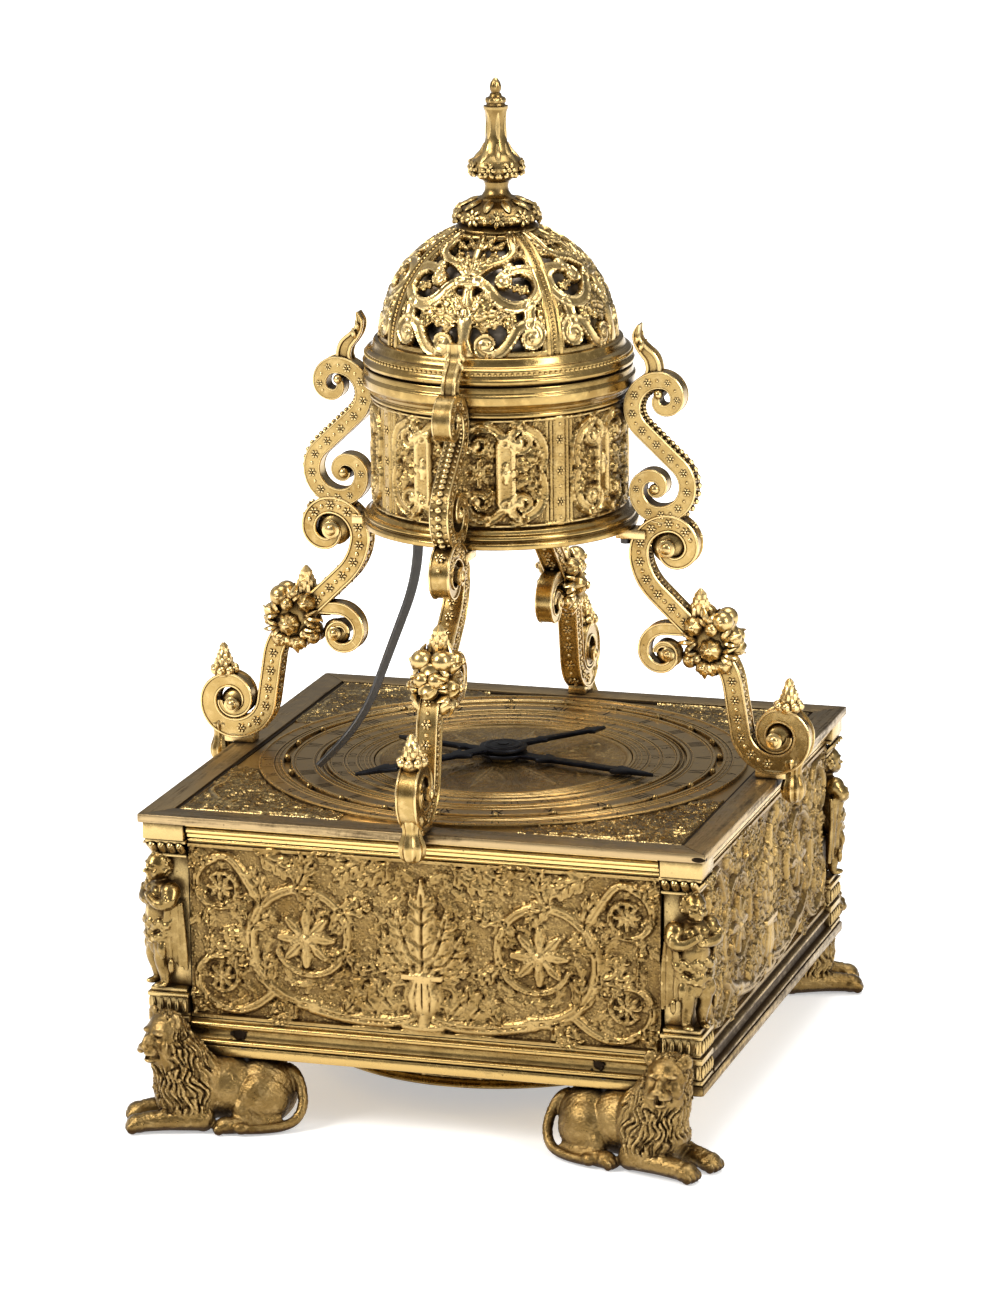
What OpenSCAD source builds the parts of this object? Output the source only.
// Square table clock on lion feet, with a drum-shaped alarm that stands over the dial on four scrolled legs.
// Millimetres, +Z up, the table at z = 0 and the front towards -Y.

/* [Case] */
// Width of the square top over its edges
top_w = 150; // [146:0.5:156]
// Height of the underside of the case above the table
foot_h = 18.5; // [17.5:0.1:20]
// Height of the plinth
plinth_h = 9.2; // [8.5:0.1:10.5]
// Height of the relief panels
panel_h = 47; // [46:0.5:54]
// Height of the cornice
cornice_h = 5; // [4.5:0.1:6.5]
// Thickness of the top frame
frame_t = 2.3; // [2.1:0.1:3]
// Width of the top frame's bars
frame_w = 7.5; // [7:0.1:8.2]
// Thickness of the relief panels
panel_t = 2; // [1.5:0.1:2.6]
// Width of a corner figure's column
column_w = 10.5; // [10:0.1:11]
// Gap between a strip or panel and the column beside it
strip_gap = 0.1; // [0.05:0.05:0.2]
// Hairline between the frames' bars at a mitre
mitre_gap = 0.04; // [0.02:0.01:0.08]

/* [Panel relief] */
// Height of the relief's flowers above the panel
relief_h = 1.4; // [1:0.1:1.6]
// Radius of the large winding stems, on a panel 47 high
vine_r = 17.8; // [17:0.1:18.4]
// Width of the large winding stems
vine_w = 4.2; // [3.6:0.1:4.6]
// Radius of the large flowers
flower_r = 6.6; // [6:0.1:7]
// Length of the palm's middle leaf
palm_l = 26; // [22:0.5:28]

/* [Dial] */
// Thickness of the dial plate
dial_t = 1.5; // [1.2:0.1:1.9]
// Outer radius of the outer ring, on a top 150 wide
outer_ring_r = 64.5; // [63:0.1:66]
// Outer radius of the hour ring, on a top 150 wide
hour_ring_r = 56; // [55:0.1:56.1]
// Width of the hour ring
hour_ring_w = 7.5; // [6.5:0.1:8]
// Outer radius of the calendar ring, on a top 150 wide
calendar_ring_r = 46.5; // [45:0.1:47]
// Radius of the engraved centre disc, on a top 150 wide
centre_disc_r = 34; // [32:0.1:35]
// Thickness of the rings on the dial
ring_t = 0.8; // [0.7:0.05:1]
// Number of touch studs, one to each hour and half hour
studs = 24; // [24:12:48]
// Radius of a touch stud
stud_r = 0.85; // [0.7:0.05:0.95]

/* [Hands] */
// Reach of the hour hand's tip from the centre, on a top 150 wide
hour_hand_l = 46.5; // [40:0.5:47]
// Reach of the moon hand's tip from the centre, on a top 150 wide
moon_hand_l = 46; // [40:0.5:47]
// Reach of the hands' tails
tail_l = 33; // [28:0.5:36]
// Thickness of a hand
hand_t = 1.1; // [0.8:0.1:1.3]

/* [Alarm stand] */
// Height of the drum's underside above the clock's top
stand_h = 64.5; // [64.5:0.1:66]
// Thickness of a leg across its scroll
leg_t = 5.5; // [4.5:0.1:6.5]
// Width of a leg's band
leg_w = 5.4; // [4.8:0.1:5.6]
// Thickness of an upper bracket
bracket_t = 5; // [4:0.1:6]
// Width of an upper bracket's band
bracket_w = 4.6; // [4.2:0.1:4.8]
// Drop of the hooks that hold the stand on the clock
hook_drop = 6; // [4:0.5:7]

/* [Drum] */
// Radius of the drum's wall
drum_r = 32.6; // [32.2:0.1:33]
// Height of the drum without its lid
drum_h = 41.9; // [41.5:0.1:43]
// Thickness of the drum's wall
drum_t = 1.6; // [1.2:0.1:1.8]
// Radius of the drum's foot ring, round a wall of 32.6
flange_r = 36.2; // [35.8:0.1:36.4]
// Outer radius of the dome, over a wall of 32.6
dome_r = 31; // [30.6:0.1:31.4]
// Thickness of the dome
dome_t = 1.4; // [1.2:0.1:1.8]
// Outer radius of the alarm bell, in a wall of 32.6
bell_r = 27; // [26.5:0.1:27.4]

/* [Trip lever] */
// Angle of the lever about the dial, counted from the right-hand side
lever_a = 212.6; // [200:0.1:220]
// Width of the lever where it hangs
lever_w = 2.6; // [2:0.1:3]
// Thickness of the lever
lever_t = 1.6; // [1.2:0.1:1.8]

/* [Lions] */
// Turn of each lion outwards from the side of the case
lion_turn = 20; // [16:0.5:23]
// Place of a lion's rump from the middle of a case 150 wide
lion_x = 34; // [31:0.5:37]
// Place of a lion's spine from the middle of a case 150 wide
lion_y = 66.4; // [65:0.2:68]

/* [Bell under the clock] */
// Outer radius of the pierced gallery, round a bell of 41
gallery_r = 50; // [49:0.1:51]
// Height of the gallery's foot above the table
gallery_z = 7.5; // [6.5:0.1:9]
// Radius of the striking bell, in a gallery of 50
strike_bell_r = 41; // [39.5:0.1:41.4]

/* [Movement] */
// Thickness of the movement's plates
plate_t = 2; // [1.8:0.1:2.2]
// Distance of both barrels from the middle of a case 150 wide
barrel_p = 38; // [37:0.1:38.6]
// Radius of a spring barrel
barrel_r = 19.5; // [17:0.1:20]
// Teeth of a great wheel
great_n = 60; // [60:1:60]
// Module of the great wheels
great_m = 0.7; // [0.68:0.01:0.71]
// Leaves of the pinions that the great wheels drive
second_pinion_n = 10; // [10:1:10]
// Teeth of the second wheel
second_n = 48; // [48:1:48]
// Leaves of the contrate wheel's pinion
contrate_pinion_n = 12; // [12:1:12]
// Module of the second wheel
second_m = 0.6; // [0.58:0.01:0.61]
// Teeth of the contrate wheel
contrate_n = 32; // [32:1:32]
// Leaves of the crown wheel's pinion
crown_pinion_n = 8; // [8:1:8]
// Middle radius of the contrate wheel's teeth
contrate_r = 11; // [10.6:0.1:11.2]
// Radius of the crown wheel
crown_r = 8.5; // [8:0.1:8.8]
// Teeth of the crown wheel
crown_n = 15; // [13:2:17]
// Radius of the balance
balance_r = 13.5; // [12:0.1:14]
// Distance between the hands' centre and the motion arbor
motion_d = 24; // [23.5:0.1:24.3]
// Teeth of the hour wheel
hour_n = 57; // [57:1:57]
// Teeth of the moon wheel
moon_n = 59; // [59:1:59]
// Leaves of the motion arbor's two pinions
motion_n = 12; // [12:1:12]
// Running clearance round a pivot, on the radius
run_gap = 0.06; // [0.03:0.01:0.09]
// Clearance between pieces that move past one another
move_gap = 0.4; // [0.3:0.05:0.5]

/* [Hidden] */
$fn = 64;
arc_step = 15;

// Levels of the case
fillet_h = 2.8;
z_plate = foot_h + fillet_h;
z_panel = foot_h + plinth_h;
z_cornice = z_panel + panel_h;
z_frame = z_cornice + cornice_h;
z_top = z_frame + frame_t;
bottom_t = 2.5;
z_floor = z_plate + bottom_t;
// Widths of the case, from the middle
half = top_w / 2;
// How far the top reaches beyond the 75 that some places are given for
wider = half - 75;
base_out = half - 0.8;
strip_in = half - 10;
panel_out = half - 3.5;
column_out = half - 2;
column_in = column_out - column_w;
opening = column_in - 3;
strip_l = 2 * (column_in - strip_gap);
plate_half = column_in - 0.2;
dial_half = half - frame_w - 0.2;
// Levels of the dial and hands
z_dial = z_frame + dial_t;
z_rings = z_dial + ring_t;
z_moon_hand = z_rings + 1;
z_hour_hand = z_moon_hand + hand_t + 0.5;
ring_r = outer_ring_r + wider;
hour_r = hour_ring_r + wider;
calendar_r = calendar_ring_r + wider;
disc_r = centre_disc_r + wider;
stud_p = hour_r + stud_r + 0.2;
outer_ring_in = stud_p + stud_r + 0.2;
// Levels of the movement
z_upper = z_frame - 13.4;
z_motion = z_upper + plate_t;
great_z = z_floor + 3.2;
great_t = 2.2;
barrel_h = 20;
second_z = great_z + great_t + barrel_h + 3.6;
wheel_t = 1.6;
upper_half = column_in - 4.5;
pillar_p = upper_half - 4.5;
// Place of the barrels
barrel_at = barrel_p + wider;
// Places of the going train
great_rp = great_m * great_n / 2;
second_d = great_m * (great_n + second_pinion_n) / 2;
second_x = -barrel_at + second_d;
second_y = -barrel_at;
contrate_d = second_m * (second_n + contrate_pinion_n) / 2;
contrate_a = 51;
contrate_x = second_x + contrate_d * cos(contrate_a);
contrate_y = second_y + contrate_d * sin(contrate_a);
contrate_z = z_floor + 9;
crown_pinion_rp = contrate_r * crown_pinion_n / contrate_n;
crown_m = 2 * crown_pinion_rp / crown_pinion_n;
contrate_top = contrate_z + 4.2;
crown_z = contrate_top + crown_pinion_rp - 0.45;
crown_x = contrate_x + contrate_r + 10.5;
crown_tip = crown_x + 4.6;
verge_x = crown_tip + 2.6;
verge_y = contrate_y;
verge_r = 0.8;
balance_z = z_motion + 1.6;
bridge_z = balance_z + 4.6;
bridge_l = 18.5;
bridge_a = atan2(verge_y, verge_x) + 90;
// Places of the motion work
motion_a = 120;
motion_x = motion_d * cos(motion_a);
motion_y = motion_d * sin(motion_a);
hour_m = 2 * motion_d / (hour_n + motion_n);
moon_m = 2 * motion_d / (moon_n + motion_n);
hour_z = z_motion + 1.4;
moon_z = hour_z + wheel_t + 1.8;
arbor_r = 2;
pipe_in = arbor_r + run_gap;
pipe_r = 3.2;
// Places of the striking work
pin_x = barrel_at - second_d;
pin_y = barrel_at;
pin_z = second_z;
pin_ring = 12;
gallery_at = gallery_r + strike_bell_r - 41;
strike_r = strike_bell_r + gallery_r - 50;
hammer_p = (strike_r + gallery_at - 2.4) / 2 + 0.9;
hammer_a = 118;
hammer_x = hammer_p * cos(hammer_a);
hammer_y = hammer_p * sin(hammer_a);
bell_t = 1.3;
strike_mouth = gallery_z + 2.2;
stud_bolt_r = 2.4;
// Levels of the alarm
z_drum = z_top + stand_h;
z_drum_floor = z_drum + 3.5;
z_lid = z_drum + drum_h;
// How far the wall stands outside the 32.6 that some places are given for
drum_wider = drum_r - 32.6;
foot_ring_r = flange_r + drum_wider;
ledge_r = foot_ring_r - 7.8;
drum_in = drum_r - drum_t;
z_alarm_plate = z_drum_floor + 26;
dome_z = z_lid + 6.6;
shell_r = dome_r + drum_wider;
dome_in = shell_r - dome_t;
alarm_bell_r = bell_r + drum_wider;
bell_z = dome_z + 0.4;
post_r = 2;
post_top = bell_z + alarm_bell_r + 0.4;
// The alarm train
alarm_m = 0.6;
alarm_n = 48;
alarm_pinion_n = 12;
alarm_x = -12;
alarm_d = alarm_m * (alarm_n + alarm_pinion_n) / 2;
alarm_z = z_drum_floor + plate_t + 3.5;
alarm_barrel_r = 12.5;
alarm_pin_x = alarm_x + alarm_d;
alarm_pin_ring = 7.5;
alarm_hammer_r = 17 + drum_wider;
alarm_tail_l = 5.2 + drum_wider;
alarm_hammer_a = -52;
// The lever's hinge under the drum
hinge_r = ledge_r - 6.1;
hinge_z = z_drum - 1.9;
hinge_pin = 0.8;
// The seat between a leg and its upper bracket, above the clock's top
seat_z = stand_h + 2.1;
// Radius of the screws that hold the legs and brackets to the drum's foot ring
fixing_r = drum_r + 1.4;
// Places on a leg and a bracket, which are drawn for a top 150 wide, a wall of 32.6 and a stand 64.5 high
leg_stretch = (half - fixing_r) / 41;
function on_leg(p) = [fixing_r + (p[0] - 34) * leg_stretch, p[1] * stand_h / 64.5];
function on_bracket(p) = [p[0] + drum_wider, seat_z + (p[1] - 66.6) * drum_h / 41.9];
function leg_run(r) = [for (q = r) [on_leg(q[0]), q[1], q[2]]];
function bracket_run(r) = [for (q = r) [on_bracket(q[0]), q[1], q[2]]];
// Place of the lions' fixing screws along the lion
screw_at = 15;
screw_r = 1.4;

// Curves drawn as runs of arcs. Each arc is [radius, turn, width at its end]; radius 0 is a straight.
function left(h) = [-sin(h), cos(h)];
function ahead(p, h, a) = a[0] == 0 ? p + a[1] * [cos(h), sin(h)]
    : p + sign(a[1]) * a[0] * (left(h) - left(h + a[1]));
function turned(h, a) = a[0] == 0 ? h : h + a[1];
function stops(a) = a[0] == 0 ? 1 : max(2, ceil(abs(a[1]) / arc_step));
function some(a, f) = [a[0], a[1] * f];
function run(p, h, w, arcs, i = 0) = i == len(arcs) ? [[p, h, w]]
    : let (a = arcs[i], n = stops(a))
    concat([for (k = [0:n - 1]) let (f = k / n)
            [ahead(p, h, some(a, f)), turned(h, some(a, f)), w + (a[2] - w) * f]],
        run(ahead(p, h, a), turned(h, a), a[2], arcs, i + 1));
function edge(r, s) = [for (q = r) q[0] + s * q[2] / 2 * left(q[1])];
function reversed(v) = [for (i = [len(v) - 1:-1:0]) v[i]];
function curl(r, ratio, n, turn, w0, w1) = [for (k = [0:n - 1])
    [r * pow(ratio, k), turn, w0 + (w1 - w0) * (k + 1) / n]];
function ring_arc(r, z, a0, a1, n) = [for (k = [0:n]) let (a = a0 + (a1 - a0) * k / n)
    [r * cos(a), z + r * sin(a)]];

function outline(r) = concat(edge(r, 1), reversed(edge(r, -1)));

module band(r) polygon(outline(r));

// A flat shape drawn as (radius, height), stood upright with the thickness t across it
module upright(t) rotate([90, 0, 0]) translate([0, 0, -t / 2]) linear_extrude(t) children();

// Gear outline with a tooth on the X axis
function tooth(n, r, add, ded, tp, tt, tr, k) = let (p = 360 / n, a = k * p)
    [for (q = [[r - ded, -tr], [r, -tp], [r + add, -tt], [r + add, tt], [r, tp], [r - ded, tr]])
        q[0] * [cos(a + q[1] * p / 2), sin(a + q[1] * p / 2)]];
function teeth(n, m, tp, tt, tr) = [for (k = [0:n - 1])
    each tooth(n, m * n / 2, 0.75 * m, 1.2 * m, tp, tt, tr, k)];

module wheel(n, m, t) linear_extrude(t) polygon(teeth(n, m, 0.36, 0.18, 0.42));

module pinion(n, m, t) linear_extrude(t) polygon(teeth(n, m, 0.34, 0.16, 0.34));

module at_corners() for (sx = [-1, 1], sy = [-1, 1]) scale_to(sx, sy) children();

module scale_to(sx, sy) mirror([sx < 0 ? 1 : 0, 0, 0]) mirror([0, sy < 0 ? 1 : 0, 0]) children();

// One mitred bar of a square frame, for the side towards -Y, with a hairline at each mitre
module mitred_bar(outer, inner, t) linear_extrude(t)
    polygon([[-outer + mitre_gap, -outer], [outer - mitre_gap, -outer], [inner - mitre_gap, -inner],
        [-inner + mitre_gap, -inner]]);

module at_sides() for (a = [0, 90, 180, 270]) rotate([0, 0, a]) children();

module lion_place() translate([lion_x + wider, -lion_y - wider, 0]) rotate([0, 0, -lion_turn]) children();

// The case

module base_frame() color("#b98a2e") translate([0, 0, foot_h]) difference() {
    at_sides() mitred_bar(base_out, opening, fillet_h);
    at_corners() lion_place() translate([screw_at, 0, -1]) cylinder(r = screw_r + 0.1, h = fillet_h + 2);
    at_corners() lion_place() translate([screw_at, 0, fillet_h - 1.4]) cylinder(r = screw_r + 1.4, h = 3);
}

module bottom_plate() color("#a8812f") {
    difference() {
        translate([-plate_half, -plate_half, z_plate]) cube([2 * plate_half, 2 * plate_half, bottom_t]);
        for (s = [-1, 1]) translate([s * barrel_at, s * barrel_at, z_plate - 1])
            cylinder(r = 2.5 + run_gap, h = bottom_t + 2);
        for (p = [[second_x, second_y], [contrate_x, contrate_y], [pin_x, pin_y]])
            translate([p[0], p[1], z_plate - 1]) cylinder(r = 1 + run_gap, h = bottom_t + 2);
        translate([hammer_x, hammer_y, z_plate - 1]) cylinder(r = 1.3 + run_gap, h = bottom_t + 2);
    }
    translate([0, 0, strike_mouth + 4]) cylinder(r = stud_bolt_r, h = z_plate - strike_mouth - 3.5);
    translate([0, 0, strike_mouth + 4]) cylinder(r = 5, h = 2.4);
}

module plinth_mouldings() color("#c99a37") difference() {
    at_sides() rotate([90, 0, 90]) translate([0, 0, -strip_l / 2]) linear_extrude(strip_l)
        polygon([[-strip_in, z_plate], [-base_out, z_plate], [-base_out + 0.6, z_plate + 0.9],
            [-base_out + 2.2, z_plate + 1.5], [-base_out + 2.2, z_panel - 2.4],
            [-base_out + 1.2, z_panel - 2], [-base_out + 0.9, z_panel - 1.2],
            [-base_out + 1.4, z_panel - 0.4], [-base_out + 2, z_panel],
            [-strip_in, z_panel]]);
    for (x = [-50, 46]) translate([x, -strip_in - 5, (z_plate + z_panel) / 2]) rotate([90, 0, 0])
        cylinder(r = 0.8, h = 8);
}

module cornice_mouldings() color("#c99a37") at_sides() rotate([90, 0, 90]) translate([0, 0, -strip_l / 2])
    linear_extrude(strip_l)
        polygon([[-strip_in, z_cornice], [-panel_out - 0.6, z_cornice], [-panel_out - 0.6, z_cornice + 1],
            [-panel_out - 1.1, z_cornice + 1.5], [-panel_out - 1.1, z_cornice + 2.4],
            [-panel_out - 2, z_cornice + 3.2], [-panel_out - 2.4, z_frame - 0.6], [-panel_out - 2.4, z_frame],
            [-strip_in, z_frame]]);

// Places on a panel, drawn for the right-hand half of one 124.8 long and 47 high; s is -1 on the left
function on_panel(p, s) = [s * p[0] * strip_l / 124.8, p[1] * panel_h / 47];
// A stem that winds inwards round c, with turns counted in steps of 18 degrees
function winding(c, r, a, steps, spin, w) = [for (k = [0:steps]) let (f = k / steps, b = a + spin * 18 * k)
    [c + r * pow(0.47, f) * [cos(b), sin(b)], b + spin * 90, w * (1 - 0.55 * f)]];
// A leaf that swells and then tapers along one arc
function frond(p, h, l, w, bend) = let (r = l * 180 / (PI * abs(bend)))
    run(p, h, 0.4 * w, [[r, 0.45 * bend, w], [r, 0.55 * bend, 0.15 * w]]);
function blossom(c, r, n) = [for (k = [0:2 * n - 1]) let (a = k * 180 / n)
    c + r * (k % 2 == 0 ? 1 : 0.8) * [cos(a), sin(a)]];

module raised(h, points, s) translate([0, -panel_out, z_panel]) rotate([90, 0, 0]) translate([0, 0, -0.6])
    linear_extrude(h + 0.6) polygon([for (p = points) on_panel(p, s)]);

module half_relief(s) {
    middle = [31, 23.5];
    low = [54, 11.8];
    high = [54, 35.6];
    big = winding(middle, vine_r, -98, 24, 1, vine_w);
    raised(0.78 * relief_h, outline(big), s);
    raised(0.76 * relief_h, outline(run([3.2, 4.8], -10, 3, [[66, 22, 0.98 * vine_w]])), s);
    raised(0.72 * relief_h, outline(winding(low, 7.6, -80, 22, 1, 0.64 * vine_w)), s);
    raised(0.72 * relief_h, outline(winding(high, 7.6, 80, 22, -1, 0.64 * vine_w)), s);
    raised(0.7 * relief_h, outline(run([40, 8.4], -40, 3, [[18.9, 50, 2.4]])), s);
    raised(0.7 * relief_h, outline(run([44.6, 34.4], 62, 3, [[0, 4.4, 2.8], [9, -70, 2.4]])), s);
    // Leaves on the large stem: the step they grow from and their length
    for (q = [[1, 6.5], [4, 12], [7, 11.5], [10, 11], [13, 10]])
        raised(0.58 * relief_h, outline(frond(big[q[0]][0], big[q[0]][1] - 22, q[1], 5, -88)), s);
    raised(relief_h, blossom(middle, flower_r, 8), s);
    for (c = [low, high]) raised(0.94 * relief_h, blossom(c, 0.48 * flower_r, 6), s);
    // Leaves of the palm beside the middle one: tilt, length and width
    for (q = [[25, 0.77, 6.4], [52, 0.58, 5.6], [84, 0.42, 4.4]])
        raised((1 - q[0] / 500) * 0.86 * relief_h,
            outline(frond([q[0] / 25, 15.5], 90 - q[0], q[1] * palm_l, q[2], 0.7 * q[0])), s);
}

module vase() {
    side = [[6, 1.2], [6, 3.6], [2.2, 4.2], [1.7, 6], [4.4, 8], [5.6, 10.4], [4.6, 13.4], [3.6, 14.6],
        [5.8, 14.8], [5.8, 16.9]];
    raised(1.05 * relief_h, concat(side, reversed([for (p = side) [-p[0], p[1]]])), 1);
}

module panel() {
    translate([-strip_l / 2, -panel_out, z_panel]) cube([strip_l, panel_t, panel_h]);
    half_relief(-1);
    half_relief(1);
    middle_leaf = run([0, 15.5], 90, 3, [[0, 0.45 * palm_l, 7.2], [0, 0.55 * palm_l, 1]]);
    raised(0.9 * relief_h, outline(middle_leaf), 1);
    vase();
}

module front_panel() color("#d3a748") panel();

module right_panel() color("#d3a748") rotate([0, 0, 90]) panel();

module rear_panel() color("#d3a748") rotate([0, 0, 180]) panel();

module left_panel() color("#d3a748") rotate([0, 0, 270]) panel();

// A column with a term figure on its outer edge
module corner_figure() {
    h = z_frame - z_plate;
    translate([column_in, -column_out, z_plate]) cube([column_w, column_w, h]);
    translate([column_in + 0.8, -column_out - 0.8, z_plate])
        cube([column_w, column_w, z_panel - z_plate + 1]);
    translate([column_in + 1.2, -column_out - 1.2, z_frame - 5]) cube([column_w + 0.8, column_w + 0.8, 5]);
    translate([column_out - 4.2, -column_out + 4.2, z_panel]) rotate_extrude() polygon([[0, 0], [5.6, 0],
        [5.6, 5], [4.6, 6], [4.6, 8], [5.4, 10], [4.9, 14], [5.2, 18], [5.9, 22], [5.4, 25], [4.6, 28],
        [5.4, 32], [5, 35], [2.6, 36.6], [0, 36.6]]);
    translate([column_out - 3.4, -column_out + 3.4, z_cornice - 7]) sphere(r = 4.3);
}

module corner_figures() color("#c0922f") at_corners() corner_figure();

module top_frame() color("#8c6a35") translate([0, 0, z_frame]) at_sides()
    mitred_bar(half, half - frame_w, frame_t);

module dial_plate() color("#caa04a") difference() {
    translate([-dial_half, -dial_half, z_frame]) cube([2 * dial_half, 2 * dial_half, dial_t]);
    translate([0, 0, z_frame - 1]) cylinder(r = pipe_r + 0.3, h = dial_t + 2);
    translate([motion_x, motion_y, z_frame - 1]) cylinder(r = 1 + run_gap, h = dial_t + 2);
}

module ring(r, r_in, t) translate([0, 0, z_dial]) difference() {
    cylinder(r = r, h = t, $fn = 96);
    translate([0, 0, -1]) cylinder(r = r_in, h = t + 2, $fn = 96);
}

module outer_ring() color("#a87f3a") ring(ring_r, outer_ring_in, ring_t);

module hour_ring() color("#9c7434") ring(hour_r, hour_r - hour_ring_w, ring_t);

module calendar_ring() color("#a57c38") ring(calendar_r, disc_r + 0.3, ring_t);

module centre_disc() color("#b08a42") ring(disc_r, pipe_r + 0.3, ring_t);

module touch_studs() color("#d8b45a") for (k = [0:studs - 1]) rotate([0, 0, k * 360 / studs])
    translate([stud_p, 0, z_dial]) rotate_extrude() polygon([[0, 0], [stud_r, 0], [stud_r, 1.1],
        [stud_r * 0.9, 1.6], [stud_r * 0.6, 1.95], [0, 2.1]]);

// The lions. A lion lies along +X from its rump, and its outer side is -Y.
module lion_shape() difference() {
    union() {
        hull() {
            translate([8.6, 0, 9]) sphere(r = 7.8, $fn = 28);
            translate([28, 0, 11]) sphere(r = 7.4, $fn = 28);
        }
        for (s = [-1, 1]) translate([10, 3 * s, 7.6]) sphere(r = 6.6);
        translate([31, 0, 14.5]) sphere(r = 8.6);
        hull() {
            translate([35.5, -0.6, 24]) sphere(r = 6, $fn = 28);
            translate([40.8, -2.6, 22]) sphere(r = 3.4, $fn = 24);
        }
        for (s = [-1, 1]) translate([34.6, -0.6 + 4.6 * s, 29.2]) sphere(r = 1.7);
        for (s = [-1, 1]) hull() {
            translate([29, 4.4 * s, 6]) sphere(r = 4.2, $fn = 20);
            translate([43.6, 4.8 * s, 2.9]) sphere(r = 2.6, $fn = 20);
        }
        for (s = [-1, 1]) translate([45, 4.8 * s, 2.7]) sphere(r = 3);
        for (s = [-1, 1]) hull() {
            translate([9, 6.6 * s, 2.6]) sphere(r = 2.8, $fn = 20);
            translate([20, 7.2 * s, 2.3]) sphere(r = 2.5, $fn = 20);
        }
        hull() {
            translate([1.6, -3, 10]) sphere(r = 1.4, $fn = 16);
            translate([-1, -4.6, 3]) sphere(r = 1.4, $fn = 16);
        }
        for (x = [9, 28]) translate([x, 0, -1]) cylinder(r = 6, h = 5);
    }
    translate([-20, -40, -20]) cube([100, 80, 20]);
    translate([screw_at, 0, 8]) cylinder(r = screw_r + 0.1, h = 20);
}

// One lion, cut to seat under the case and to clear the corner figure above it
module lion(sx, sy) scale_to(sx, sy) difference() {
    lion_place() lion_shape();
    translate([-half - 1.2, -half - 1.2, foot_h]) cube([2 * half + 2.4, 2 * half + 2.4, 40]);
}

module lion_front_right() color("#a47c2c") lion(1, 1);

module lion_front_left() color("#a47c2c") lion(-1, 1);

module lion_rear_right() color("#a47c2c") lion(1, -1);

module lion_rear_left() color("#a47c2c") lion(-1, -1);

module foot_screws() color("#5d5a55") at_corners() lion_place() translate([screw_at, 0, 0]) {
    translate([0, 0, 9]) cylinder(r = screw_r, h = z_plate - 9.2);
    translate([0, 0, z_plate - 1.4]) cylinder(r = screw_r + 1.2, h = 1.3);
}

// The bell under the clock

module bell_gallery() color("#b08430") difference() {
    rotate_extrude($fn = 96) polygon([[gallery_at - 2.4, gallery_z], [gallery_at + 2, gallery_z],
        [gallery_at + 2, gallery_z + 1], [gallery_at, gallery_z + 2], [gallery_at, z_plate - 1.6],
        [gallery_at + 1.2, z_plate - 1], [gallery_at + 1.2, z_plate], [gallery_at - 2.4, z_plate]]);
    for (k = [0:19]) rotate([0, 0, k * 18]) translate([gallery_at - 6, 0, (gallery_z + z_plate) / 2])
        rotate([0, 90, 0]) cylinder(r = 2.6, h = 12);
}

module strike_bell() color("#cfc9b4") difference() {
    rotate_extrude($fn = 96) polygon([[0, strike_mouth + 9.6], [strike_r * 0.55, strike_mouth + 9.4],
        [strike_r * 0.8, strike_mouth + 8], [strike_r * 0.92, strike_mouth + 4.6],
        [strike_r, strike_mouth], [strike_r - bell_t, strike_mouth],
        [strike_r * 0.92 - bell_t, strike_mouth + 4.2], [strike_r * 0.79 - bell_t, strike_mouth + 6.8],
        [strike_r * 0.54, strike_mouth + 8], [6.4, strike_mouth + 8], [6.4, strike_mouth + 6.4],
        [0, strike_mouth + 6.4]]);
    translate([0, 0, strike_mouth]) cylinder(r = stud_bolt_r + 0.02, h = 14);
}

// The movement

module pillars() color("#b5882f") for (a = [0, 90, 180, 270]) rotate([0, 0, a])
    translate([pillar_p, 0, z_floor]) rotate_extrude() polygon([[0, 0], [3.2, 0], [3.2, 1.5], [2, 3],
        [2, z_upper - z_floor - 3], [3.2, z_upper - z_floor - 1.5], [3.2, z_upper - z_floor],
        [0, z_upper - z_floor]]);

module upper_plate() color("#b08a3a") difference() {
    translate([-upper_half, -upper_half, z_upper]) cube([2 * upper_half, 2 * upper_half, plate_t]);
    for (s = [-1, 1]) translate([s * barrel_at, s * barrel_at, z_upper - 1])
        cylinder(r = 1.8 + run_gap, h = plate_t + 2);
    for (p = [[second_x, second_y], [contrate_x, contrate_y], [pin_x, pin_y], [motion_x, motion_y],
        [hammer_x, hammer_y]])
        translate([p[0], p[1], z_upper - 1]) cylinder(r = 1 + run_gap, h = plate_t + 2);
    translate([0, 0, z_upper - 1]) cylinder(r = arbor_r + run_gap, h = plate_t + 2);
    translate([verge_x, verge_y, z_upper - 1]) cylinder(r = verge_r + 1, h = plate_t + 2);
}

// Spring barrel with its great wheel and arbor; the square below is for the key
module spring_barrel(turn) {
    translate([0, 0, great_z]) rotate([0, 0, turn]) wheel(great_n, great_m, great_t);
    translate([0, 0, great_z + great_t]) cylinder(r = barrel_r, h = barrel_h);
    translate([0, 0, z_floor - bottom_t - 0.4]) cylinder(r = 2.5, h = great_z - z_floor + bottom_t + 1);
    translate([-1.6, -1.6, foot_h - 1.5]) cube([3.2, 3.2, fillet_h + 2]);
    translate([0, 0, great_z + great_t + barrel_h - 1])
        cylinder(r = 3, h = z_upper - great_z - great_t - barrel_h + 0.6);
    translate([0, 0, z_upper - 1]) cylinder(r = 1.8, h = plate_t + 1);
}

module going_barrel() color("#c2973f") translate([-barrel_at, -barrel_at, 0]) spring_barrel(0);

module strike_barrel() color("#c2973f") translate([barrel_at, barrel_at, 0]) spring_barrel(180);

// Arbor between the plates, with a pivot at each end
module arbor() {
    translate([0, 0, z_floor + 0.4]) cylinder(r = 1.5, h = z_upper - z_floor - 0.8);
    translate([0, 0, z_plate + 0.5]) cylinder(r = 1, h = z_upper + plate_t - z_plate - 1);
}

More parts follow.
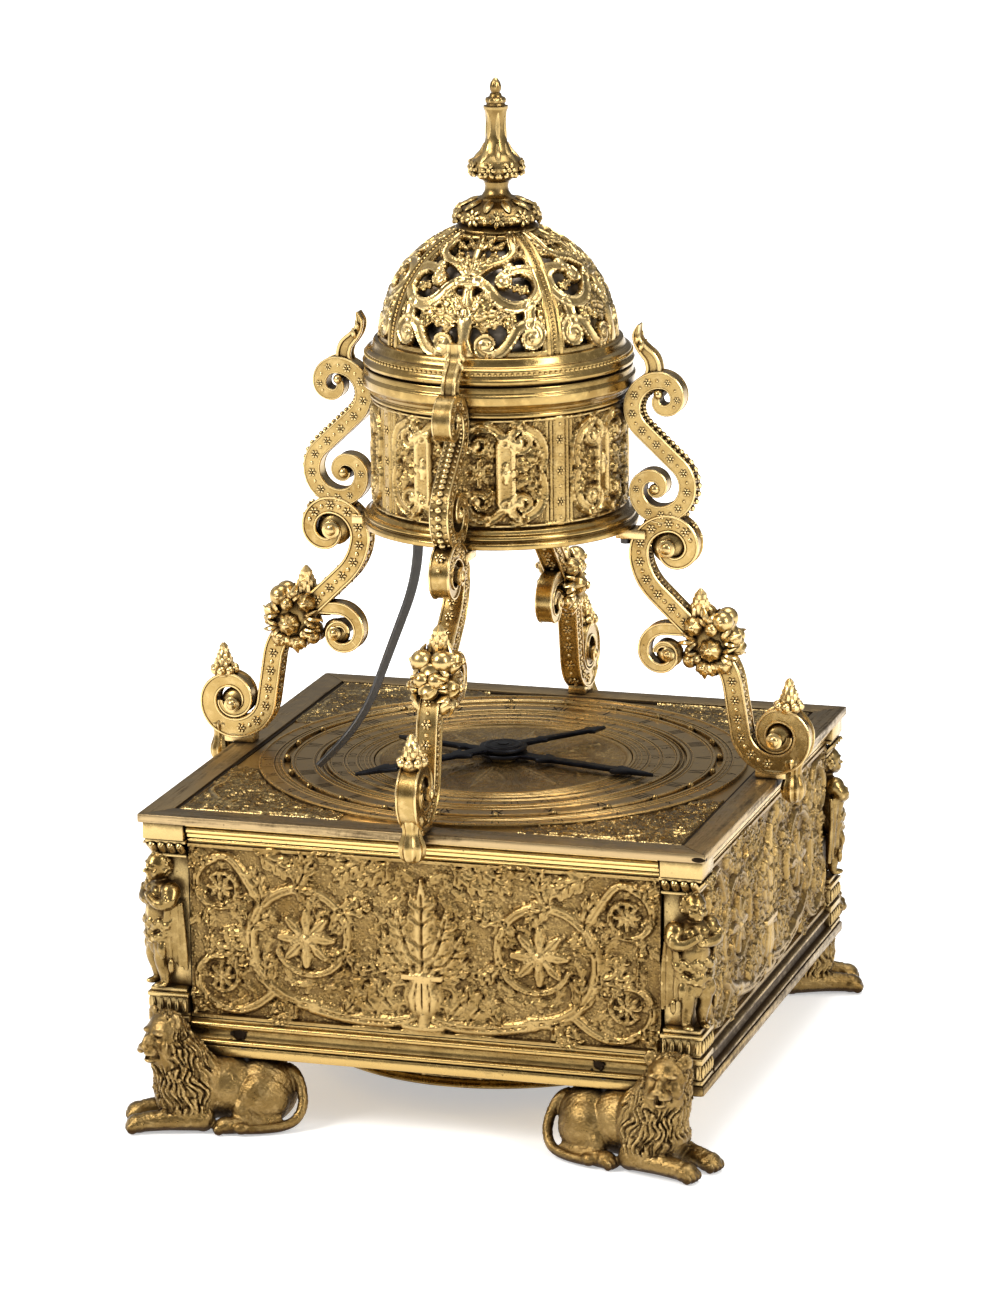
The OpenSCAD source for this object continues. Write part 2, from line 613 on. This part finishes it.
module second_wheel() color("#c6a04a") translate([second_x, second_y, 0]) {
    arbor();
    translate([0, 0, great_z - 0.6]) rotate([0, 0, 180 + 180 / second_pinion_n])
        pinion(second_pinion_n, great_m, great_t + 1.2);
    translate([0, 0, second_z]) rotate([0, 0, contrate_a]) wheel(second_n, second_m, wheel_t);
}

module contrate_wheel() color("#c6a04a") translate([contrate_x, contrate_y, 0]) {
    arbor();
    translate([0, 0, second_z - 1]) rotate([0, 0, contrate_a + 180 + 180 / contrate_pinion_n])
        pinion(contrate_pinion_n, second_m, wheel_t + 2);
    difference() {
        translate([0, 0, contrate_z]) cylinder(r = contrate_r + 0.9, h = contrate_top - contrate_z);
        translate([0, 0, contrate_z + 1.2]) cylinder(r = contrate_r - 0.9, h = 10);
        for (k = [0:contrate_n - 1]) rotate([0, 0, (k + 0.5) * 360 / contrate_n])
            translate([contrate_r - 3, -0.34 * PI * contrate_r / contrate_n * 2, contrate_top - 1.4])
                cube([6, 0.68 * PI * contrate_r / contrate_n * 2, 4]);
    }
    translate([0, 0, contrate_z]) cylinder(r = 3, h = 2.4);
}

module crown_wheel() color("#c6a04a") translate([crown_x, contrate_y, crown_z]) rotate([0, 90, 0]) {
    difference() {
        cylinder(r = crown_r, h = crown_tip - crown_x);
        translate([0, 0, 1.2]) cylinder(r = crown_r - 1, h = 10);
        for (k = [0:crown_n - 1]) rotate([0, 0, k * 360 / crown_n]) translate([crown_r - 3, 0, 2.4])
            rotate([90, 0, 90]) linear_extrude(6) polygon([[0.3, 0], [2.2, 4], [-1, 4], [-0.6, 0]]);
    }
    rim = contrate_x + contrate_r - crown_x;
    translate([0, 0, rim - 1.7]) cylinder(r = 0.9, h = 2.7 - rim);
    translate([0, 0, rim - 1.6]) rotate([0, 0, 180 / crown_pinion_n])
        pinion(crown_pinion_n, crown_m, 3.2);
}

// Bracket that carries the crown wheel's arbor and the foot of the verge
module potence() color("#b08a3a") {
    x0 = contrate_x + contrate_r + 2.8;
    x1 = crown_x - move_gap;
    foot_z = crown_z - crown_r - 3.4;
    difference() {
        union() {
            translate([x0, contrate_y - 3, z_floor]) cube([x1 - x0, 6, crown_z + 3 - z_floor]);
            translate([x0, contrate_y - 3, z_floor]) cube([verge_x + 3 - x0, 6, foot_z - z_floor]);
        }
        translate([x0 - 1, contrate_y, crown_z]) rotate([0, 90, 0])
            cylinder(r = 0.9 + run_gap, h = x1 - x0 + 2);
        translate([verge_x, verge_y, foot_z - 2]) cylinder(r = verge_r + run_gap, h = 4);
    }
}

module verge() color("#6f6c68") translate([verge_x, verge_y, 0]) {
    foot_z = crown_z - crown_r - 3.4;
    translate([0, 0, foot_z - 1.8]) cylinder(r = verge_r, h = bridge_z + 1.8 - foot_z + 1.8);
    for (s = [-1, 1]) translate([0, 0, crown_z + s * (crown_r - 0.5) - 0.9]) rotate([0, 0, s * 90])
        translate([0, -0.3, 0]) cube([2.2, 0.6, 1.8]);
}

module balance_wheel() color("#8f8a82") translate([verge_x, verge_y, balance_z]) difference() {
    cylinder(r = balance_r, h = wheel_t);
    for (a = [0, 120, 240]) rotate([0, 0, a]) translate([0, 0, -1]) rotate_extrude(angle = 104)
        translate([2.6, 0]) square([balance_r - 4.4, wheel_t + 2]);
    translate([0, 0, -1]) cylinder(r = verge_r + 0.01, h = wheel_t + 2);
}

module balance_bridge() color("#b5882f") translate([verge_x, verge_y, 0]) rotate([0, 0, bridge_a])
    difference() {
    union() {
        translate([-bridge_l - 2, -2.5, bridge_z]) cube([2 * bridge_l + 4, 5, 2]);
        for (s = [-1, 1]) translate([s * bridge_l, 0, z_motion]) cylinder(r = 2, h = bridge_z - z_motion + 1);
    }
    translate([0, 0, bridge_z - 1]) cylinder(r = verge_r + run_gap, h = 4);
}

// The hands' work

module hour_wheel() color("#c6a04a") {
    translate([0, 0, hour_z]) rotate([0, 0, motion_a]) wheel(hour_n, hour_m, wheel_t);
    translate([0, 0, z_upper]) cylinder(r = arbor_r, h = z_hour_hand - z_upper);
    translate([0, 0, z_motion + 0.3]) cylinder(r = 3.4, h = hour_z - z_motion);
    translate([0, 0, z_hour_hand - 1]) cylinder(r = 1.5, h = hand_t + 1.6);
}

module moon_wheel() color("#b9923f") difference() {
    union() {
        translate([0, 0, moon_z]) rotate([0, 0, motion_a]) wheel(moon_n, moon_m, wheel_t);
        translate([0, 0, hour_z + wheel_t + 0.3])
            cylinder(r = pipe_r, h = z_moon_hand - hour_z - wheel_t - 0.3);
        translate([0, 0, z_moon_hand - 1]) cylinder(r = 2.8, h = hand_t + 1.2);
    }
    translate([0, 0, hour_z]) cylinder(r = pipe_in, h = z_hour_hand - hour_z);
}

module motion_arbor() color("#8f8a82") translate([motion_x, motion_y, 0]) {
    translate([0, 0, z_upper + 0.3]) cylinder(r = 1, h = z_dial - z_upper - 0.6);
    translate([0, 0, z_motion + 0.3]) cylinder(r = 1.6, h = z_frame - z_motion - 0.6);
    translate([0, 0, hour_z - 0.4]) rotate([0, 0, motion_a + 180 + 180 / motion_n])
        pinion(motion_n, hour_m, wheel_t + 0.8);
    translate([0, 0, moon_z - 0.4]) rotate([0, 0, motion_a + 180 + 180 / motion_n])
        pinion(motion_n, moon_m, wheel_t + 0.8);
}

// A hand from its tip along +X to its tail
module hand(l, tail, bore) difference() {
    linear_extrude(hand_t) {
        circle(r = 6.5);
        polygon([[0, -1.8], [l - 9, -1.5], [l - 8, -2.6], [l - 3.5, -1.4], [l, 0], [l - 3.5, 1.4],
            [l - 8, 2.6], [l - 9, 1.5], [0, 1.8]]);
        polygon([[0, 1.6], [-tail + 7, 1.1], [-tail + 5, 2.2], [-tail, 0], [-tail + 5, -2.2],
            [-tail + 7, -1.1], [0, -1.6]]);
    }
    translate([0, 0, -1]) cylinder(r = bore, h = hand_t + 2);
}

module hour_hand() color("#22242a") translate([0, 0, z_hour_hand]) rotate([0, 0, 231])
    hand(hour_hand_l + wider, tail_l, 1.52);

module moon_hand() color("#22242a") translate([0, 0, z_moon_hand]) rotate([0, 0, -15])
    hand(moon_hand_l + wider, tail_l, 2.82);

// The striking work

module pin_wheel() color("#c6a04a") translate([pin_x, pin_y, 0]) {
    arbor();
    translate([0, 0, great_z - 0.6]) rotate([0, 0, 180 / second_pinion_n])
        pinion(second_pinion_n, great_m, great_t + 1.2);
    translate([0, 0, pin_z]) cylinder(r = pin_ring + 2, h = wheel_t);
    for (k = [0:7]) rotate([0, 0, k * 45]) translate([pin_ring, 0, pin_z + 0.5]) cylinder(r = 0.8, h = 4);
}

module strike_hammer() color("#6f6c68") translate([hammer_x, hammer_y, 0]) {
    translate([0, 0, strike_mouth + 0.4]) cylinder(r = 1.3, h = z_floor - strike_mouth);
    translate([0, 0, z_floor - 1]) cylinder(r = 1.3, h = z_upper - z_floor + 0.7);
    translate([0, 0, z_upper - 1]) cylinder(r = 1, h = plate_t + 0.8);
    translate([0, 0, z_floor + 0.4]) cylinder(r = 2.4, h = 2);
    rotate([0, 0, hammer_a - 108]) {
        translate([0, -0.7, strike_mouth + 0.8]) cube([11.5, 1.4, 2.6]);
        translate([11.5, 0, strike_mouth + 0.8]) cylinder(r = 1.5, h = 2.6);
    }
    translate([0, -0.8, pin_z + wheel_t + 0.8]) cube([pin_x - hammer_x - pin_ring - 1.6, 1.6, 1.6]);
}

// The alarm stand

module leg_shape() {
    foot = [74.4, 3.9];
    arcs = [[9.4, -81, leg_w], [0, 12.8, leg_w], [13.5, 37, leg_w], [0, 22.9, leg_w], [15.4, -39, leg_w]];
    neck = ahead_all(foot, 180, arcs);
    inner = on_leg([32, 0])[0];
    pad = on_leg([69, 0])[0];
    side_curl = curl(6, 0.78, 5, 90, 3, 1.4);
    difference() {
        union() {
            upright(leg_t) band(leg_run(run(foot, 180, leg_w, arcs)));
            upright(leg_t) band(leg_run(run(neck, 97, leg_w, curl(8.3, 0.74, 5, -90, leg_w, 1.8))));
            upright(leg_t) band(leg_run(run(foot, 0, leg_w, curl(7.2, 0.83, 5, 90, leg_w, 1.5))));
            upright(leg_t - 1) band(leg_run(run([54, 38.4], 180, 3, concat([[0, 9, 3]], side_curl))));
            translate([inner, -leg_t / 2 - 0.6, stand_h - 2.6]) cube([8, leg_t + 1.2, 2.6]);
            translate([pad, -leg_t / 2 + 0.3, 0]) cube([half + 1 - pad, leg_t - 0.6, 2.4]);
            translate([half + 0.3, -leg_t / 2 + 0.3, 0]) cube([3.4, leg_t - 0.6, 4]);
            translate([half + 0.3, -leg_t / 2 - 0.8, -hook_drop]) cube([3.6, leg_t + 1.6, hook_drop + 1]);
            for (p = [[74.5, 10.6, 2.6], [45.7, 60, 2.7], [45.7, 31.6, 2]]) across(on_leg(p))
                rotate([90, 0, 0]) translate([0, 0, -leg_t / 2 - 1]) cylinder(r = p[2], h = leg_t + 2);
            for (p = [[53.6, 33, 3.9], [58.6, 37.4, 3.9], [62, 32, 3.6], [57, 29.6, 3.4], [57, 43.4, 3]])
                across(on_leg(p)) sphere(r = p[2]);
            for (p = [[57.7, 33.9, 3.2], [60.2, 40.6, 2.8], [53.4, 39.8, 2.8]], side = [-1, 1])
                across(on_leg(p)) translate([0, side * 2.9, 0]) sphere(r = p[2]);
            across(on_leg([57, 43])) cylinder(r1 = 2.6, r2 = 0.6, h = 6.4);
            across(on_leg([77, 19.4])) sphere(r = 3.7);
            across(on_leg([77.4, 20])) cylinder(r1 = 3.2, r2 = 0.7, h = 6.6);
        }
        translate([20, -20, seat_z]) cube([half + 5, 40, 30]);
        translate([fixing_r, 0, stand_h - 10]) cylinder(r = 1, h = 20);
    }
}

// Places a shape at a point given as (radius, height)
module across(p) translate([p[0], 0, p[1]]) children();

// The point at the end of a run of arcs
function ahead_all(p, h, arcs, i = 0) = i == len(arcs) ? p
    : ahead_all(ahead(p, h, arcs[i]), turned(h, arcs[i]), arcs, i + 1);

module leg(a) color("#c2962f") rotate([0, 0, a]) translate([0, 0, z_top]) leg_shape();

module leg_front() leg(270);

module leg_right() leg(0);

module leg_rear() leg(90);

module leg_left() leg(180);

module bracket_shape() {
    low = [43.5, 68.6];
    body = [[7.6, 137, bracket_w], [0, 13.6, bracket_w], [7.5, -137, bracket_w]];
    upper = ahead_all(low, 0, body);
    lower_curl = curl(6.1, 0.68, 5, -90, bracket_w, 1.5);
    upper_curl = curl(4.6, 0.72, 4, -90, bracket_w, 1.4);
    leaf = [[5, 80, 3.2], [4, 60, 2.4], [5, -110, 1.6], [0, 1.6, 0.6]];
    difference() {
        union() {
            upright(bracket_t) band(bracket_run(run(low, 0, bracket_w, body)));
            upright(bracket_t) band(bracket_run(run(low, 180, bracket_w, lower_curl)));
            upright(bracket_t) band(bracket_run(run(upper, 0, bracket_w, upper_curl)));
            upright(bracket_t - 1.6) band(bracket_run(run(upper - [0.4, 0], 60, 4, leaf)));
            for (p = [[42.3, 75.3], [43.4, 100.3]]) across(on_bracket(p)) rotate([90, 0, 0])
                translate([0, 0, -bracket_t / 2 - 0.8]) cylinder(r = 2.4, h = bracket_t + 1.6);
        }
        translate([20, -20, seat_z - 30]) cube([half + 5, 40, 30]);
        translate([0, 0, stand_h + drum_h - 0.3]) cylinder(r = drum_r + 2.8 + move_gap, h = 30, $fn = 96);
    }
}

module upper_brackets() color("#cda23c") at_sides() translate([0, 0, z_top]) bracket_shape();

module leg_screws() color("#4a4844") at_sides() translate([fixing_r, 0, 0]) {
    translate([0, 0, z_drum - 4]) cylinder(r = 0.9, h = 6.8);
    translate([0, 0, z_drum - 4.2]) cylinder(r = 1.5, h = 1.6);
}

// The drum

module drum_case() color("#cda23c") difference() {
    rotate_extrude($fn = 96) polygon([[ledge_r, z_drum], [foot_ring_r, z_drum], [foot_ring_r, z_drum + 1.5],
        [foot_ring_r - 1.2, z_drum + 2.1], [foot_ring_r - 0.8, z_drum + 3.3], [drum_r + 1, z_drum + 4.5],
        [drum_r, z_drum + 5], [drum_r, z_lid - 8.4], [drum_r + 1.2, z_lid - 7.8], [drum_r + 0.8, z_lid - 6.4],
        [drum_r + 2.4, z_lid - 5.4], [drum_r + 3, z_lid - 4], [drum_r + 3, z_lid - 2],
        [drum_r + 2.2, z_lid - 1.2], [drum_r + 2.2, z_lid], [drum_in, z_lid], [drum_in, z_drum_floor],
        [ledge_r, z_drum_floor]]);
    at_sides() translate([fixing_r, 0, z_drum - 1]) cylinder(r = 0.95, h = 3.9);
}

module drum_floor() color("#a8812f") difference() {
    translate([0, 0, z_drum_floor]) cylinder(r = drum_in - 0.1, h = plate_t);
    translate([0, 0, z_drum_floor - 1]) cylinder(r = 4 + run_gap, h = plate_t + 2);
    translate([alarm_x, 0, z_drum_floor - 1]) cylinder(r = 1 + run_gap, h = plate_t + 2);
    translate([alarm_pin_x, 0, z_drum_floor - 1]) cylinder(r = 1 + run_gap, h = plate_t + 2);
    rotate([0, 0, alarm_hammer_a]) translate([alarm_hammer_r, 0, z_drum_floor - 1])
        cylinder(r = 1 + run_gap, h = plate_t + 2);
}

module alarm_pillars() color("#b5882f") for (a = [100, 220, 340]) rotate([0, 0, a])
    translate([drum_in - 3, 0, z_drum_floor + plate_t])
        cylinder(r = 2, h = z_alarm_plate - z_drum_floor - plate_t);

module alarm_plate() color("#b08a3a") difference() {
    translate([0, 0, z_alarm_plate]) cylinder(r = drum_in - 0.2, h = plate_t);
    translate([0, 0, z_alarm_plate - 1]) cylinder(r = post_r + 0.01, h = plate_t + 2);
    translate([alarm_x, 0, z_alarm_plate - 1]) cylinder(r = 1 + run_gap, h = plate_t + 2);
    translate([alarm_pin_x, 0, z_alarm_plate - 1]) cylinder(r = 1 + run_gap, h = plate_t + 2);
    rotate([0, 0, alarm_hammer_a]) translate([alarm_hammer_r, 0, z_alarm_plate - 1])
        cylinder(r = 1.3 + run_gap, h = plate_t + 2);
}

module bell_post() color("#8f8a82") {
    translate([0, 0, z_alarm_plate]) cylinder(r = post_r, h = post_top - z_alarm_plate);
    translate([0, 0, z_alarm_plate + plate_t]) cylinder(r = 4, h = 2);
    translate([0, 0, post_top - bell_t - 4.65]) cylinder(r = 3.4, h = 4);
    translate([0, 0, post_top - 0.4]) cylinder(r = 3.2, h = 1.2);
}

module alarm_bell() color("#d6d2c4") difference() {
    rotate_extrude($fn = 96) polygon(concat(
        [[0, bell_z + alarm_bell_r]],
        reversed(ring_arc(alarm_bell_r, bell_z, 0, 82, 14)),
        [[alarm_bell_r + 0.2, bell_z - 1.6], [alarm_bell_r - bell_t, bell_z - 1.6]],
        ring_arc(alarm_bell_r - bell_t, bell_z, 0, 82, 14),
        [[0, bell_z + alarm_bell_r - bell_t]]));
    translate([0, 0, bell_z]) cylinder(r = post_r + 0.01, h = alarm_bell_r + 4);
}

module alarm_barrel() color("#c2973f") translate([alarm_x, 0, 0]) {
    translate([0, 0, alarm_z]) wheel(alarm_n, alarm_m, wheel_t);
    translate([0, 0, alarm_z + wheel_t]) cylinder(r = alarm_barrel_r, h = 14);
    translate([0, 0, z_drum_floor + 0.2]) cylinder(r = 1, h = z_alarm_plate + plate_t - z_drum_floor - 0.4);
    translate([0, 0, z_drum_floor + plate_t + 0.3])
        cylinder(r = 2, h = z_alarm_plate - z_drum_floor - plate_t - 0.6);
}

module alarm_pin_wheel() color("#c6a04a") translate([alarm_pin_x, 0, 0]) {
    translate([0, 0, z_drum_floor + 0.2]) cylinder(r = 1, h = z_alarm_plate + plate_t - z_drum_floor - 0.4);
    translate([0, 0, alarm_z + 3]) cylinder(r = 1.5, h = z_alarm_plate - alarm_z - 3.4);
    translate([0, 0, alarm_z - 0.6]) rotate([0, 0, 180 + 180 / alarm_pinion_n])
        pinion(alarm_pinion_n, alarm_m, wheel_t + 1.2);
    translate([0, 0, alarm_z + wheel_t + 16]) cylinder(r = alarm_pin_ring + 1.4, h = 1.4);
    for (k = [0:5]) rotate([0, 0, k * 60]) translate([alarm_pin_ring, 0, alarm_z + wheel_t + 14])
        cylinder(r = 0.7, h = 2.6);
}

// The hammer stands beside the bell's rim, inside it, and its tail points at the pin wheel
module alarm_hammer() color("#6f6c68") rotate([0, 0, alarm_hammer_a]) translate([alarm_hammer_r, 0, 0]) {
    translate([0, 0, z_drum_floor + 0.2]) cylinder(r = 1, h = 6);
    translate([0, 0, z_drum_floor + plate_t + 0.3])
        cylinder(r = 1.3, h = bell_z + 2 - z_drum_floor - plate_t - 0.3);
    translate([0, -0.8, bell_z - 0.6]) cube([5.6, 1.6, 2.6]);
    translate([5.9, 0, bell_z - 0.6]) cylinder(r = 1.9, h = 2.6);
    rotate([0, 0, 160]) translate([0, -0.7, alarm_z + wheel_t + 14.2]) cube([alarm_tail_l, 1.4, 1.6]);
}

// Disc that turns under the drum to set the hour, with the lever's hinge below it
module setting_disc() color("#a8812f") {
    translate([0, 0, z_drum + 0.6]) cylinder(r = ledge_r - run_gap - 0.04, h = 2.6);
    translate([0, 0, z_drum + 1]) cylinder(r = 4, h = z_drum_floor + plate_t - z_drum);
    translate([0, 0, z_drum_floor + plate_t + 0.3]) cylinder(r = 4.65, h = 1.2);
    rotate([0, 0, lever_a]) {
        for (s = [-1, 1]) translate([hinge_r + s * 2.6 - 0.6, -1.8, z_drum - 3.6]) cube([1.2, 3.6, 5]);
        translate([hinge_r - 2.6, 0, hinge_z]) rotate([0, 90, 0]) cylinder(r = hinge_pin, h = 5.2);
    }
}

module trip_lever() color("#4b4d50") rotate([0, 0, lever_a]) difference() {
    union() {
        upright(lever_t) band(run([hinge_r, hinge_z - 0.4], -90, lever_w, [[0, 0.6, lever_w],
            [50, 22, lever_w * 0.9], [0, 21.5, lever_w * 0.8], [45, 26, lever_w * 0.7],
            [0, 6.3, lever_w * 0.6]]));
        translate([hinge_r - 1.5, 0, hinge_z]) rotate([0, 90, 0]) cylinder(r = 1.5, h = 3);
    }
    translate([hinge_r - 4, 0, hinge_z]) rotate([0, 90, 0]) cylinder(r = hinge_pin + run_gap, h = 8);
}

// The lid

module dome_shell() color("#d3a93f") difference() {
    rotate_extrude($fn = 96) polygon(concat(
        [[drum_in - 1.6, z_lid - 1], [drum_in - 0.2, z_lid - 1], [drum_in - 0.2, z_lid],
            [drum_r + 2.8, z_lid], [drum_r + 2.8, z_lid + 2], [drum_r + 1.7, z_lid + 2.8],
            [drum_r + 1.9, z_lid + 4.4],
            [drum_r + 0.4, z_lid + 5.4], [drum_r, z_lid + 7]],
        ring_arc(shell_r, dome_z, 6, 84.4, 16),
        reversed(ring_arc(dome_in, dome_z, 6, 84, 16)),
        [[drum_in - 1.6, z_lid + 6]]));
    for (a = [0, 90, 180, 270]) rotate([0, 0, a])
        for (p = [[-27, 20, 3.4], [-9, 17, 3], [9, 17, 3], [27, 20, 3.4], [-20, 36, 3.6], [0, 35, 4.2],
            [20, 36, 3.6], [-24, 51, 2.6], [0, 53, 3.2], [24, 51, 2.6]])
            rotate([0, 0, p[0]]) translate([0, 0, dome_z]) rotate([0, 90 - p[1], 0])
                translate([0, 0, shell_r - 6]) cylinder(r = p[2], h = 12);
}

module finial() color("#c2962f") translate([0, 0, dome_z + shell_r]) rotate_extrude() polygon([[0, -1.6],
    [2.9, -1.6], [2.9, 0.1], [8.4, -0.9], [9.6, -0.4], [11.5, 1], [10.4, 2.4], [7.5, 3.5], [5.4, 4.2],
    [4.4, 5], [3.1, 7.5], [3.4, 8.4], [4.6, 9.8], [6.6, 11.6], [7.05, 13.2], [6.4, 15], [4.4, 16.8],
    [2.7, 18.6],
    [2, 24.3], [2.4, 27], [3.2, 29], [2.9, 30], [2.5, 31], [1.2, 32], [1, 32.7], [1.54, 33.8], [1.3, 35.2],
    [0.5, 36.5], [0, 36.7]]);

base_frame();
bottom_plate();
plinth_mouldings();
cornice_mouldings();
front_panel();
rear_panel();
left_panel();
right_panel();
corner_figures();
top_frame();
dial_plate();
outer_ring();
hour_ring();
calendar_ring();
centre_disc();
touch_studs();
lion_front_left();
lion_front_right();
lion_rear_left();
lion_rear_right();
foot_screws();
bell_gallery();
strike_bell();
pillars();
upper_plate();
going_barrel();
strike_barrel();
second_wheel();
contrate_wheel();
crown_wheel();
potence();
verge();
balance_wheel();
balance_bridge();
hour_wheel();
hour_hand();
moon_wheel();
moon_hand();
motion_arbor();
strike_hammer();
pin_wheel();
drum_case();
drum_floor();
alarm_plate();
alarm_pillars();
bell_post();
alarm_bell();
alarm_barrel();
alarm_pin_wheel();
alarm_hammer();
setting_disc();
trip_lever();
dome_shell();
finial();
leg_front();
leg_right();
leg_rear();
leg_left();
upper_brackets();
leg_screws();
